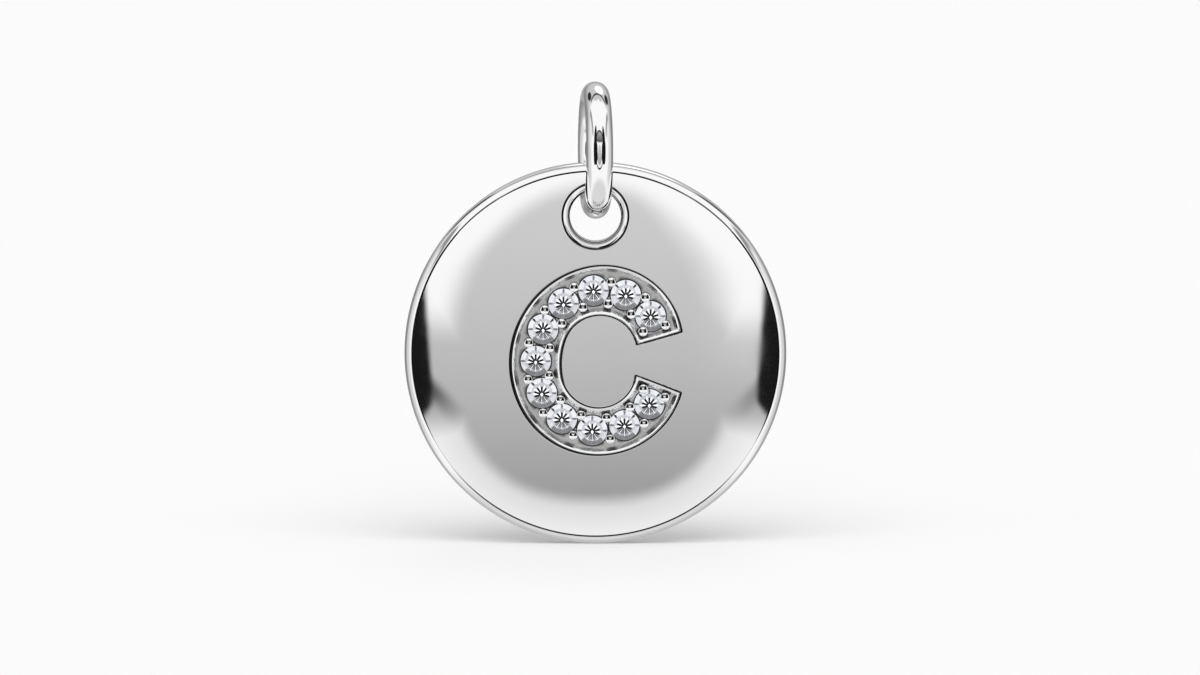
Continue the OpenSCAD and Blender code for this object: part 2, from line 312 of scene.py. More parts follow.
def end_plane(angle, side):
    """A point and the normal of the leaning wall at one end of the stroke."""
    mid_r = middle_reach(angle % 360)
    slope = face_slope(mid_r)
    phi = side * (90 - deg(math.atan(1 / WALL_LEAN)))
    n = np.array([sin(phi) * sin(slope), cos(phi), sin(phi) * cos(slope)])
    n = np.array([n[0] * cos(angle) - n[1] * sin(angle),
                  n[0] * sin(angle) + n[1] * cos(angle), n[2]])
    if n[2] < 0:
        n = -n
    at = np.array([AIM[0], AIM[1], float(sphere_z(mid_r, 0.0)) + mid_r * tan(slope)])
    return at, n


END_PLANES = (end_plane(END_TOP, 1), end_plane(-END_LOW, -1))


def end_walls(x, y):
    """Heights of the two end walls over points of the face."""
    return [at[2] - (n[0] * (x - at[0]) + n[1] * (y - at[1])) / n[2] for at, n in END_PLANES]


def edge_distance(x, y):
    """How far a point of the face lies outside the recess's edge, below zero inside it."""
    face = sphere_z(x, y)
    wall = outer.gap(x, y) - (face - outer.level) * WALL_LEAN
    island = -inner.gap(x, y) - (face - inner.level) * WALL_LEAN
    mouth = np.min([(plane - face) * WALL_LEAN for plane in end_walls(x, y)], axis=0)
    mouth = np.where(x > AIM[0], mouth, FAR_IN)
    return soft_max(soft_max(wall, island, CORNER_SOFT), mouth, CORNER_SOFT)


# Where the scribed line lies: the mask sets both its groove and its painted shade
def line_mask(distance, x, y):
    counter = np.abs(inner.gap(x, y)) < COUNTER_ZONE
    left = np.clip(-x / LINE_LEFT_REACH + LINE_LEFT_START, 0, 1)
    half = LINE_HALF * (1 + LINE_LEFT_GAIN * left) * np.where(counter, LINE_COUNTER_SHARE, 1)
    return bell((distance - LINE_OFF) / half)


def cut_waves(x, y):
    """Small unevenness of the hand-finished wall."""
    turn = np.arctan2(y - LETTER_Y, x - WAVE_MIDDLE_X)
    long, fine = (h * np.sin(n * turn + phase) for h, n, phase in (LONG_WAVE, FINE_WAVE))
    return long * np.sin(LONG_BEAT * turn) + fine


def height(x, y):
    """The finished face, with its scribed line, bevel, wall and floor."""
    face = sphere_z(x, y)
    distance = edge_distance(x, y)
    inside = np.clip(-(distance + WALL_IN) / CUT_WALL_W, 0, 1)
    bevel = face + (distance + BEVEL_IN) * BEVEL_FALL
    wall = face - BEVEL_H + (distance + WALL_IN + cut_waves(x, y) * inside) / VIEW_LEAN
    cut = soft_max(soft_min(bevel, wall, EDGE_SOFT), sphere_z(x, y, CUT_DEPTH), FOOT_SOFT)
    return soft_min(face, cut, EDGE_SOFT) - LINE_DEPTH * line_mask(distance, x, y)


def face_painted_shade_and_satin(x, y):
    """How much painted shade the face gets, in its scribed lines and round the grains' feet, and
    how satin it is, from 0 to 1.
    """
    distance = edge_distance(x, y)
    near = np.min([np.hypot(x - p[0], y - p[1]) for p in GRAINS], axis=0)
    foot = FOOT_PAINTED_SHADE * np.clip(1 - (near - GRAIN_R) / FOOT_PAINTED_SHADE_W, 0, 1)
    foot = foot * np.clip((-distance - CUT_WALL_W + FLOOR_BLEND_W) / FLOOR_BLEND_W, 0, 1)
    satin = smooth((-distance - WALL_IN - SATIN_START) / SATIN_BLEND_W)
    return np.maximum(line_mask(distance, x, y), foot), satin


def height_normal(x, y):
    d = NORMAL_STEP
    gx = (height(x + d, y) - height(x - d, y)) / (2 * d)
    gy = (height(x, y + d) - height(x, y - d)) / (2 * d)
    n = np.stack([-gx, -gy, np.ones_like(gx)], 1)
    return n / np.linalg.norm(n, axis=1, keepdims=True)


def to_world_way(n):
    n = np.asarray(n, float)
    return np.stack([n[:, 0], -n[:, 2], n[:, 1]], 1)


def to_world(p):
    """The disc's own frame, in millimetres, to the shared frame, in metres."""
    return (to_world_way(p) + np.array([0.0, HOLE_MID_Z, DISC_Z])) * MM


class Shell:
    """Faces with a normal for each of their corners."""

    def __init__(self):
        self.points, self.faces, self.normals, self.line, self.recess = [], [], [], [], []

    def add(self, points, line=0.0, recess=0.0):
        start = len(self.points)
        self.points.extend(np.asarray(points, float).tolist())
        count = len(self.points) - start
        self.line.extend(np.broadcast_to(line, count).tolist())
        self.recess.extend(np.broadcast_to(recess, count).tolist())
        return list(range(start, len(self.points)))

    def face(self, ids, normals):
        a, b, c = (np.array(self.points[i]) for i in ids[:3])
        if np.dot(np.cross(b - a, c - a), np.sum(normals, axis=0)) < 0:
            ids, normals = ids[::-1], normals[::-1]
        self.faces.append(list(ids))
        self.normals.extend([list(n) for n in normals])

    def band(self, low, high, low_n, high_n):
        """Quads between two closed rings of as many points."""
        n = len(low)
        for i in range(n):
            j = (i + 1) % n
            self.face([low[i], low[j], high[j], high[i]],
                      [low_n[i], low_n[j], high_n[j], high_n[i]])

    def fan(self, ids, ways, tip, axis, line=0.0, recess=0.0):
        """Triangles from a closed ring to a tip."""
        top = self.add([tip], line, recess)[0]
        n = len(ids)
        for i in range(n):
            j = (i + 1) % n
            self.face([ids[i], ids[j], top], [ways[i], ways[j], axis])

    def build(self, name, world=True):
        mesh = bpy.data.meshes.new(name)
        points = to_world(self.points) if world else np.array(self.points) * MM
        normals = to_world_way(self.normals) if world else np.array(self.normals)
        mesh.from_pydata(points.tolist(), [], self.faces)
        mesh.shade_smooth()
        mesh.normals_split_custom_set(normals.tolist())
        for title, values in (("line", self.line), ("recess", self.recess)):
            mesh.attributes.new(title, "FLOAT", "POINT").data.foreach_set("value", values)
        mesh.update()
        obj = bpy.data.objects.new(name, mesh)
        bpy.context.scene.collection.objects.link(obj)
        return obj


def angles_round(n):
    """Directions of n points round a circle, in radians."""
    return np.arange(n) * 2 * math.pi / n


def circle(r, n, z=0.0, centre=(0.0, 0.0)):
    t = angles_round(n)
    return np.stack([centre[0] + r * np.cos(t), centre[1] + r * np.sin(t), np.full(n, z)], 1)


def revolve(shell, profile, n, place=None, first=None, marks=(), recess=0.0):
    """Bands through a profile of (radius, height, slope) rows about the Z axis, where the slope
    is the normal's angle from +Z outwards. The first ring may be one that exists."""
    ids = last_way = None
    for k, (r, z, slope) in enumerate(profile):
        p, way = circle(r, n, z), circle(sin(slope), n, cos(slope))
        if place is not None:
            p, way = place[0] + p @ place[1].T, way @ place[1].T
        line = marks[k] if k < len(marks) else 0.0
        new = first if k == 0 and first is not None else shell.add(p, line, recess)
        if ids is not None:
            shell.band(ids, new, last_way, way)
        ids, last_way = new, way
    return ids, last_way


# Points round each ring of the mesh, and steps of the rounded parts
RIM_N = 480
HOLE_N = 128
SEAT_N = 80
GRAIN_N = 40
RING_N = 288
WIRE_N = 72
RIM_SOFT_STEPS = 8
RIM_EDGE_STEPS = 22
RIM_BACK_STEPS = 13
HOLE_FACE_STEPS, HOLE_SOFT_STEPS = (0.6, 0.35, 0.15, 0.0), (0.35, 0.7)
HOLE_EDGE_STEPS = 14
# Half widths of the rounded creases, and the scribed line in them, a shallow groove painted dark as
# shade
CREASE_SOFT_W = 0.075
RIM_SOFT_W = 0.04
RIM_LINE_HALF = 0.03
RIM_LINE_DEPTH = 0.02
HOLE_LINE_SHARE = 0.45
HOLE_LINE_TILT = 0.2
# The painted shade of the rim's line is faint all round, stronger in the upper half, and darkest
# near the top and foot
RIM_LINE_LEAST = 0.12
RIM_LINE_UPPER = 0.1
RIM_LINE_ENDS = 0.6
RIM_TOP_START, RIM_TOP_W = 0.85, 0.1
RIM_FOOT_START, RIM_FOOT_W = 0.6, 0.3
# Share of the hole's edge after which its painted shade grows towards the bore
HOLE_INNER_MARK = 0.72
BORE_SOFT_H = 0.06
# Painted shade in the seats: top, lower wall and cone
SEAT_TOP_DARK, SEAT_WALL_DARK, SEAT_CONE_DARK = 0.35, 0.9, 0.6
# The back's satin share, and how many degrees its shading leans at its edge
BACK_SATIN = 0.3
BACK_ROLL = 5.0
# Rows of points along the recess's edge: distance out, share of the wall, distance in
ROWS = ([("out", v) for v in (0.13, 0.09, 0.07, 0.056, 0.045, 0.035, 0.026, 0.017, 0.009)]
        + [("wall", v) for v in (0, 0.035, 0.07, 0.105, 0.14, 0.18, 0.22, 0.26, 0.3, 0.35, 0.42,
                                 0.52, 0.64, 0.75, 0.83, 0.89, 0.94, 1)]
        + [("in", v) for v in (0.015, 0.036)])
ROW_STEP = 0.07
ROW_OVERRUN = 0.3
ROW_KEEP = 0.2
ARC_OVERRUN = 40.0
SETTLE_ROUNDS = 8
BISECT_ROUNDS = 40
# The loose grid between the rows: its pitch, its reach, and its room to the edges
GRID_PITCH = 0.45
GRID_COLUMNS, GRID_LINES = 20, 24
GRID_ROOM = 0.2
# Rings of points round the grains' feet
FEET_OUT = (-0.03, 0.0, 0.025, 0.055)
FEET_N = 36
# Least distance between points of the rows, and of the feet and ends; and from these to the
# seats, and from the grid to them
ROW_ROOM, END_ROOM = 0.006, 0.012
SEAT_ROOM, GRID_SEAT_ROOM = 0.012, 0.1
CDT_EPS = 1e-7
# How much of the hole and of a seat the face leaves open
HOLE_OPEN_SHARE, SEAT_OPEN_SHARE = 0.9, 0.9995


def rim_crease():
    """Rows that turn from the face's slope to the rim's across the crease between them."""
    w, rows = RIM_SOFT_W, []
    slope0 = face_slope(CREASE_R)
    for t in np.arange(RIM_SOFT_STEPS + 1) / RIM_SOFT_STEPS:
        slope = slope0 + (EDGE_START - slope0) * t
        u = -w + 2 * w * t
        drop = -tan(slope0 if u < 0 else EDGE_START) * u
        soft = (tan(EDGE_START) - tan(slope0)) * (w - abs(u)) ** 2 / (4 * w)
        rows.append((CREASE_R + u, RIM_T + drop - soft, slope))
    return rows


def arc_points(c, r, start, end, lean_sign, level):
    """Rows of points along an arc of an outline, from outside the edge to past its foot."""
    n = max(2, math.ceil(abs(rad(end - start)) * r / ROW_STEP))
    t = np.radians(np.linspace(start, end, n + 1))
    edge, foot = np.full(n + 1, r), np.full(n + 1, r)
    for _ in range(SETTLE_ROUNDS):
        for depth, radius in ((0.0, edge), (CUT_DEPTH, foot)):
            x, y = c[0] + radius * np.cos(t), c[1] + radius * np.sin(t)
            radius[:] = r + lean_sign * WALL_LEAN * (sphere_z(x, y, depth) - level)
    found = []
    for kind, v in ROWS:
        if kind == "out":
            radius = edge + lean_sign * v
        elif kind == "wall":
            radius = edge + (foot - edge) * v
        else:
            radius = foot - lean_sign * v
        found.append(np.stack([c[0] + radius * np.cos(t), c[1] + radius * np.sin(t)], 1))
    return np.concatenate(found)


def end_rows(angle, side):
    """The same rows along one end of the stroke."""
    way = along(angle)
    across = side * np.array([-way[1], way[0]])
    start = inner.reach(angle % 360) - ROW_OVERRUN
    end = outer.reach(angle % 360) + ROW_OVERRUN
    s = np.arange(start, end, ROW_STEP)
    found = []
    for kind, v in ROWS:
        off = -v if kind == "out" else v * CUT_WALL_W if kind == "wall" else CUT_WALL_W + v
        found.append(AIM + s[:, None] * way + off * across)
    return np.concatenate(found)


def add_rim(shell):
    """The rim from its crease over the rounded edge and the side to the back. Gives its first
    and its last ring."""
    rim = rim_crease()
    scribed = [float(bell((r - CREASE_R) / RIM_LINE_HALF)) for r, _, _ in rim]
    high = np.sin(angles_round(RIM_N))
    rim_groove_and_shade = (RIM_LINE_LEAST + RIM_LINE_UPPER * np.clip(high, 0, 1)
             + RIM_LINE_ENDS * np.clip((high - RIM_TOP_START) / RIM_TOP_W, 0, 1))
    rim_groove_and_shade = rim_groove_and_shade + RIM_LINE_ENDS * np.clip((-high - RIM_FOOT_START) / RIM_FOOT_W, 0, 1)
    start = EDGE_START + deg(RIM_SOFT_W / RIM_ARC_R)
    for s in np.linspace(start, 90, RIM_EDGE_STEPS):
        rim.append((DISC_R - RIM_ARC_R + RIM_ARC_R * sin(s), RIM_ARC_Z + RIM_ARC_R * cos(s), s))
    for s in np.linspace(90, 180, RIM_BACK_STEPS):
        rim.append((DISC_R - BACK_ROUND + BACK_ROUND * sin(s), BACK_ROUND + BACK_ROUND * cos(s), s))
    rim[0] = (rim[0][0], float(sphere_z(rim[0][0], 0.0)), face_slope(rim[0][0]))
    rim_ids = shell.add(circle(rim[0][0], RIM_N, rim[0][1]))
    # The marks set both the depth of the groove and its painted shade
    marks = [m * rim_groove_and_shade for m in scribed]
    back_ids, _ = revolve(shell, rim, RIM_N, first=rim_ids, marks=marks)
    for k in range(1, len(scribed)):
        for i in range(RIM_N):
            shell.points[rim_ids[0] + k * RIM_N + i][2] -= RIM_LINE_DEPTH * marks[k][i]
    return rim_ids, back_ids


def add_hole(shell):
    """The hanging hole: crease and rounded edge square to the face, bore and back chamfer.
    Gives the middle, axis and first ring of its edge, and its last ring."""
    hole_at, hole_turn = dome_frame((0, HOLE_Y), HOLE_SAG + HOLE_EDGE_DEPTH / 2)
    hole_at = hole_at + hole_turn @ np.array([0, 0, HOLE_EDGE_DEPTH / 2])
    edge_c = HOLE_CREASE_R + HOLE_ARC_R * sin(EDGE_START)
    out = circle(1.0, HOLE_N)
    axis = hole_turn @ UP

    def edge_ring(slope):
        """Ring of the rounded edge at one slope for each point round it."""
        s = np.radians(slope)[:, None]
        p = (out * (edge_c - HOLE_ARC_R * np.sin(s))
             + UP * (HOLE_ARC_R * (np.cos(s) - cos(EDGE_START))))
        way = -out * np.sin(s) + UP * np.cos(s)
        return hole_at + p @ hole_turn.T, way @ hole_turn.T

    low, high = np.full(HOLE_N, EDGE_START), np.full(HOLE_N, EDGE_END)
    for _ in range(BISECT_ROUNDS):
        mid = (low + high) / 2
        p, _ = edge_ring(mid)
        outside = np.hypot(p[:, 0], p[:, 1] - HOLE_Y) > HOLE_R
        low, high = np.where(outside, mid, low), np.where(outside, high, mid)
    meet = (low + high) / 2

    sphere_c = np.array([0, 0, DOME_Z])

    def dome_ring(radius):
        """Ring on the face about the hole's tilted axis."""
        p = hole_at + (out * radius) @ hole_turn.T
        rel = p - sphere_c
        along_axis = rel @ axis
        lift = -along_axis + np.sqrt(along_axis ** 2 + DOME_R ** 2 - (rel ** 2).sum(1))
        p = p + lift[:, None] * axis
        return p, (p - sphere_c) / DOME_R

    ring, way = dome_ring(HOLE_CREASE_R + CREASE_SOFT_W)
    hole_ids = shell.add(ring)
    ids, last_way = hole_ids, way
    first_s = EDGE_START + deg(CREASE_SOFT_W / HOLE_ARC_R)
    inward = -(out @ hole_turn.T)
    rings = []
    for u in HOLE_FACE_STEPS:
        p, w = dome_ring(HOLE_CREASE_R + CREASE_SOFT_W * u)
        # The scribed line in the crease: a shallow groove, and a mark that paints shade into it
        mark = float(bell(u / HOLE_LINE_SHARE))
        w = w + inward * (2 * u * mark * RIM_LINE_DEPTH / (CREASE_SOFT_W * HOLE_LINE_TILT))
        w = w / np.linalg.norm(w, axis=1, keepdims=True)
        rings.append((p - RIM_LINE_DEPTH * mark * way, w, mark))
    for u in HOLE_SOFT_STEPS:
        p, w = edge_ring(np.full(HOLE_N, EDGE_START + u * (first_s - EDGE_START)))
        mark = float(bell(u / HOLE_LINE_SHARE))
        rings.append((p - RIM_LINE_DEPTH * mark * way, w, mark))
    # Towards the bore the edge's mark rises, painting shade where the edge meets the bore
    for k in np.linspace(0, 1, HOLE_EDGE_STEPS):
        p, w = edge_ring(first_s + (meet - first_s) * k)
        rings.append((p, w, max(0.0, (k - HOLE_INNER_MARK) / (1 - HOLE_INNER_MARK))))
    for p, w, mark in rings:
        new = shell.add(p, mark)
        shell.band(ids, new, last_way, w)
        ids, last_way = new, w
    bore = np.array([shell.points[i] for i in ids])
    turn = np.arctan2(bore[:, 1] - HOLE_Y, bore[:, 0])
    spokes = np.stack([np.cos(turn), np.sin(turn), np.zeros(HOLE_N)], 1)
    for level in (bore[:, 2] - BORE_SOFT_H, HOLE_BACK_W):
        bore[:, 2] = level
        new = shell.add(bore)
        shell.band(ids, new, -spokes, -spokes)
        ids = new
    chamfer_ids = shell.add(spokes * BACK_OPENING + np.array([0, HOLE_Y, 0]))
    chamfer_way = (-spokes - UP) / math.sqrt(2)
    shell.band(ids, chamfer_ids, chamfer_way, chamfer_way)
    return (hole_at, axis, hole_ids), chamfer_ids


def add_seats(shell):
    """The seats under the stones, darkened with painted shade. Gives the middle, axis and first
    ring of each.
    """
    seats = []
    g, r = SEAT_GAP, SEAT_R
    floor_r = DOME_R - CUT_DEPTH
    ring_z = math.sqrt(floor_r ** 2 - r ** 2) - floor_r
    girdle_z = -GIRDLE_T - g / cos(PAVILION_ANGLE) + g * tan(PAVILION_ANGLE)
    point_z = -GIRDLE_T - STONE_R * tan(PAVILION_ANGLE) - g / cos(PAVILION_ANGLE)
    for s in STONES:
        at, turn = place = dome_frame(s, CUT_DEPTH)
        ids = shell.add(at + circle(r, SEAT_N, ring_z) @ turn.T, SEAT_TOP_DARK, 1.0)
        axis = turn @ UP
        seats.append((at, axis, ids))
        low_ids, _ = revolve(shell, [(r, ring_z, -90), (r, girdle_z, -90)], SEAT_N, place, ids,
                             (SEAT_TOP_DARK, SEAT_WALL_DARK), 1.0)
        cone = [(r, girdle_z, -PAVILION_ANGLE),
                (r * 0.5, (girdle_z + point_z) / 2, -PAVILION_ANGLE)]
        ids, way = revolve(shell, cone, SEAT_N, place, low_ids,
                           (SEAT_WALL_DARK, SEAT_CONE_DARK), 1.0)
        tip = at + turn @ np.array([0, 0, point_z])
        shell.fan(ids, way, tip, axis, SEAT_CONE_DARK, 1.0)
    return seats


def arc_rows():
    """Rows of points along the arcs of both outlines, as far as the recess runs."""
    found = []
    for o, sign in ((outer, 1), (inner, -1)):
        for c, r, start, end in ((o.top_c, o.top_r, -ARC_OVERRUN, o.top_join),
                                 (o.side_c, o.side_r, o.top_join, o.low_join),
                                 (o.low_c, o.low_r, o.low_join, 360 + ARC_OVERRUN)):
            found.append(arc_points(c, r, start, end, sign, o.level))
    arcs = np.concatenate(found)
    x, y = arcs.T
    keep = (x < AIM[0]) | (np.min(end_walls(x, y), axis=0) < sphere_z(x, y) + ROW_KEEP)
    keep &= (outer.gap(x, y) < ROW_OVERRUN) & (inner.gap(x, y) > -ROW_OVERRUN)
    return arcs[keep]


def both_end_rows():
    ends = np.concatenate([end_rows(END_TOP, 1), end_rows(-END_LOW, -1)])
    x, y = ends.T
    return ends[(outer.gap(x, y) < ROW_KEEP) & (inner.gap(x, y) > -ROW_KEEP)]


def loose_grid():
    """A triangular grid over the disc, clear of the rim and the hole."""
    pitch = GRID_PITCH
    grid = np.array([(i * pitch + (j % 2) * pitch / 2, j * pitch * math.sqrt(0.75))
                     for i in range(-GRID_COLUMNS, GRID_COLUMNS + 1)
                     for j in range(-GRID_LINES, GRID_LINES + 1)])
    grid = grid[np.hypot(grid[:, 0], grid[:, 1]) < CREASE_R - GRID_ROOM]
    return grid[np.hypot(grid[:, 0], grid[:, 1] - HOLE_Y) > HOLE_CREASE_R + GRID_ROOM]


def lay(flat, cloud, room, seat_room):
    """Adds a cloud's points that keep their room to the seats and to what is laid."""
    tree = kdtree.KDTree(len(flat))
    for i, p in enumerate(flat):
        tree.insert((p[0], p[1], 0), i)
    tree.balance()
    taken = {}
    for p in cloud.tolist():
        if any(math.hypot(p[0] - s[0], p[1] - s[1]) < SEAT_R + seat_room for s in STONES):
            continue
        if tree.find((p[0], p[1], 0))[2] < room:
            continue
        column, row = math.floor(p[0] / room), math.floor(p[1] / room)
        around = [q for i in (-1, 0, 1) for j in (-1, 0, 1)
                  for q in taken.get((column + i, row + j), ())]
        if any(math.hypot(p[0] - q[0], p[1] - q[1]) < room for q in around):
            continue
        taken.setdefault((column, row), []).append(p)
        flat.append(p)


def outlined(shell, rings):
    """Flat points, ids and edges of closed rings that a surface is laid between."""
    flat, ids, edges = [], [], []
    for ring in rings:
        start, n = len(flat), len(ring)
        flat += [shell.points[i][:2] for i in ring]
        ids += ring
        edges += [(start + i, start + (i + 1) % n) for i in range(n)]
    return flat, ids, edges


def triangles(flat, edges):
    """Triangles over flat points, as indices of the points. New points aren't used."""
    _, _, faces, origin, _, _ = delaunay_2d_cdt([Vector(p) for p in flat], edges, [], 0, CDT_EPS)
    source = [o[0] if len(o) else None for o in origin]
    found = ([source[v] for v in f] for f in faces)
    return [k for k in found if None not in k]


def off_axis(p, at, axis, depth=0.0):
    """Distance from an axis of the point of the face, or of the sphere under it, at p."""
    rel = np.array([p[0], p[1], float(sphere_z(p[0], p[1], depth))]) - at
    return np.linalg.norm(rel - (rel @ axis) * axis)


def add_face(shell, rim_ids, hole, seats, grid):
    """The face with the recess: rows of points along each edge, the grid elsewhere."""
    flat, ids, edges = outlined(shell, [rim_ids] + [ring for _, _, ring in [hole] + seats])
    feet = np.concatenate([circle(GRAIN_R + w, FEET_N, centre=p)[:, :2]
                           for p in GRAINS for w in FEET_OUT])
    for cloud, room, seat_room in ((arc_rows(), ROW_ROOM, SEAT_ROOM),
                                   (feet, END_ROOM, SEAT_ROOM),
                                   (both_end_rows(), END_ROOM, SEAT_ROOM),
                                   (grid, GRID_ROOM, GRID_SEAT_ROOM)):
        lay(flat, cloud, room, seat_room)
    xy = np.array(flat)
    x, y = xy[len(ids):].T
    ids += shell.add(np.column_stack([x, y, height(x, y)]), *face_painted_shade_and_satin(x, y))
    way = height_normal(xy[:, 0], xy[:, 1])
    for k in triangles(flat, edges):
        mid = xy[k].mean(0)
        if off_axis(mid, *hole[:2]) < HOLE_CREASE_R + CREASE_SOFT_W * HOLE_OPEN_SHARE:
            continue
        if any(max(abs(mid - at[:2])) < SEAT_R
               and off_axis(mid, at, axis, CUT_DEPTH) < SEAT_R * SEAT_OPEN_SHARE
               for at, axis, _ in seats):
            continue
        shell.face([ids[v] for v in k], [way[v] for v in k])


def add_back(shell, back_ids, chamfer_ids, grid):
    """The flat back, whose shading normals lean very slightly outwards towards its edge as if
    polishing had rolled it off.
    """
    flat, ids, edges = outlined(shell, [back_ids, chamfer_ids])
    grid = grid[np.hypot(grid[:, 0], grid[:, 1] - HOLE_Y) > BACK_OPENING + GRID_ROOM]
    ids += shell.add([(x, y, 0.0) for x, y in grid], 0.0, BACK_SATIN)
    xy = np.array(flat + grid.tolist())
    roll = BACK_ROLL * (np.linalg.norm(xy, axis=1) / DISC_R) ** 2
    way = np.column_stack([xy * (np.tan(np.radians(roll)) / DISC_R)[:, None], -np.ones(len(xy))])
    way /= np.linalg.norm(way, axis=1, keepdims=True)
    for k in triangles(xy, edges):
        mid = xy[k].mean(0)
        if math.hypot(mid[0], mid[1] - HOLE_Y) >= BACK_OPENING:
            shell.face([ids[v] for v in k], [way[v] for v in k])


def build_disc():
    shell = Shell()
    grid = loose_grid()
    rim_ids, back_ids = add_rim(shell)
    hole, chamfer_ids = add_hole(shell)
    seats = add_seats(shell)
    add_face(shell, rim_ids, hole, seats, grid)
    add_back(shell, back_ids, chamfer_ids, grid)
    return shell.build("disc_polished")


# A grain: slope and radius of its point and of its turn, rings of its top, the corner down to the
# post, how deep that starts, and the painted shade of the first rows
GRAIN_POINT_SLOPE, GRAIN_TURN_SLOPE = 9.0, 26.5
GRAIN_POINT_R, GRAIN_TOP_R = 0.018, 0.165
GRAIN_RINGS = (0.008, GRAIN_POINT_R, 0.035, 0.055, 0.08, 0.105, 0.13, 0.15, GRAIN_TOP_R)
GRAIN_SIDE_SLOPE = 82.0
GRAIN_CORNER_STEPS = 9
GRAIN_SINK = 0.03
GRAIN_PAINTED_SHADE = (0.4, 0.28, 0.34, 0.28, 0.2)


def grain_profile():
    """A low point whose slope grows outwards, then a tighter round down to the post."""
    top_rows = []
    z, last_r = CUT_DEPTH, 0.0
    for r in GRAIN_RINGS:
        grown = (r - GRAIN_POINT_R) / (GRAIN_TOP_R - GRAIN_POINT_R)
        slope = min(GRAIN_POINT_SLOPE * r / GRAIN_POINT_R,
                    GRAIN_POINT_SLOPE + (GRAIN_TURN_SLOPE - GRAIN_POINT_SLOPE) * grown)
        z -= tan(slope) * (r - last_r)
        top_rows.insert(0, (r, z, slope))
        last_r = r
    corner_r = (GRAIN_R - GRAIN_TOP_R) / (1 - sin(GRAIN_TURN_SLOPE))
    side_h = z - corner_r * cos(GRAIN_TURN_SLOPE)
    rows = [(GRAIN_R, -GRAIN_SINK, 90), (GRAIN_R, side_h, 90)]
    for s in np.linspace(GRAIN_SIDE_SLOPE, GRAIN_TURN_SLOPE, GRAIN_CORNER_STEPS)[:-1]:
        rows.append((GRAIN_R - corner_r * (1 - sin(s)), side_h + corner_r * cos(s), s))
    return rows + top_rows


def clear_of_stones(q, seats):
    """Where a grain reaches over a stone it keeps clear of it, as the seat does."""
    g = SEAT_GAP
    top = (STONE_R - TABLE_SHARE * STONE_R) * tan(CROWN_ANGLE) + g
    foot = g / cos(CROWN_ANGLE) - g * tan(CROWN_ANGLE)
    for at, turn in seats:
        rel = turn.T @ (q - at)
        r = math.hypot(rel[0], rel[1])
        if r > SEAT_R or rel[2] > top:
            continue
        limit = SEAT_R
        if rel[2] > foot:
            limit = STONE_R - (rel[2] - g / cos(CROWN_ANGLE)) / tan(CROWN_ANGLE)
        if r < limit:
            rel[:2] *= limit / r
            q = at + turn @ rel
    return q


def build_grains():
    shell = Shell()
    seats = [dome_frame(s, CUT_DEPTH) for s in STONES]
    profile = grain_profile()
    for p in GRAINS:
        at, turn = place = dome_frame(p, CUT_DEPTH)
        ids, way = revolve(shell, profile, GRAIN_N, place, marks=GRAIN_PAINTED_SHADE)
        shell.fan(ids, way, at + turn @ (UP * CUT_DEPTH), turn @ UP)
    shell.points = [clear_of_stones(np.array(q), seats).tolist() for q in shell.points]
    return shell.build("setting_grains")


def build_ring():
    shell = Shell()
    ct, st = cos(RING_TURN), sin(RING_TURN)
    turn = np.array([[ct, -st, 0], [st, ct, 0], [0, 0, 1]])
    t = angles_round(WIRE_N)
    rings = []
    for a in angles_round(RING_N):
        out = np.array([0, math.cos(a), math.sin(a)])
        way = np.cos(t)[:, None] * out + np.sin(t)[:, None] * np.array([1.0, 0, 0])
        p = out * RING_MEAN_R + way * WIRE_R
        p, way = p @ turn.T, way @ turn.T
        rings.append((shell.add(p + np.array([0, 0, RING_Z])), way))
    for (a, wa), (b, wb) in zip(rings, rings[1:] + rings[:1]):
        shell.band(a, b, wa, wb)
    return shell.build("ring_wire", world=False)


# The flat facets seen down inside a stone, painted with the reflections a cut stone shows
PAINTED_FACETS_AT = -0.014
PAINTED_FACETS_STEP = 0.004
PAINTED_FACETS_R = 0.635
STAR_DOWN = 0.075
ARROWS = 10
BLOCKS = 8
# Their corners: share of the radius, and angle from the shape's middle
BLOCK = ((0.63, 17), (0.63, 6), (0.63, -6), (0.63, -17),
         (0.985, -20), (0.985, -10), (0.985, 0), (0.985, 10), (0.985, 20))
BLOCK_FOOT = ((0.64, -15), (0.64, 15), (0.83, 0))
SPLIT = ((0.7, -3), (0.88, -6), (0.93, 4), (0.76, 4))
KITE = ((0.03, 0), (0.4, -12.96), (0.62, 0), (0.4, 12.96))
ARROW = ((0.07, -40), (0.3, -13.5), (0.47, -9.5), (0.54, 0), (0.47, 9.5), (0.3, 13.5), (0.07, 40))
LOW_ARROW = ((0.07, -40), (0.3, -16.875), (0.47, -11.875), (0.6, 0), (0.47, 11.875),
             (0.3, 16.875), (0.07, 40))
LOW_LINE = ((0.2, -2), (0.58, -2.5), (0.6, 2.5), (0.2, 2))
POINT = ((0.11, 90), (0.1, 0), (0.17, 270), (0.1, 180))
GIRDLE_FIELD = tuple((1.0, 10 * i) for i in range(36))
TABLE_FIELD = tuple((0.66, 10 * i) for i in range(36))
# Their painted tones, which stand for reflections, from 0 for black to 1 for white. The blocks' are
# for the upper half, the sides and the foot, the splits' and the kites' for the upper part and the
# rest.
GIRDLE_TONE, TABLE_TONE, POINT_TONE = 0.2, 0.42, 1.0
BLOCK_TONES, BLOCK_FOOT_SHARE = (1.0, 0.85, 0.26), 0.62
SPLIT_TONES, KITE_TONES = (0.02, 0.16), (0.98, 0.2)
ARROW_TONE, LOW_ARROW_TONE, LOW_LINE_TONE = 0.0, 0.09, 0.9


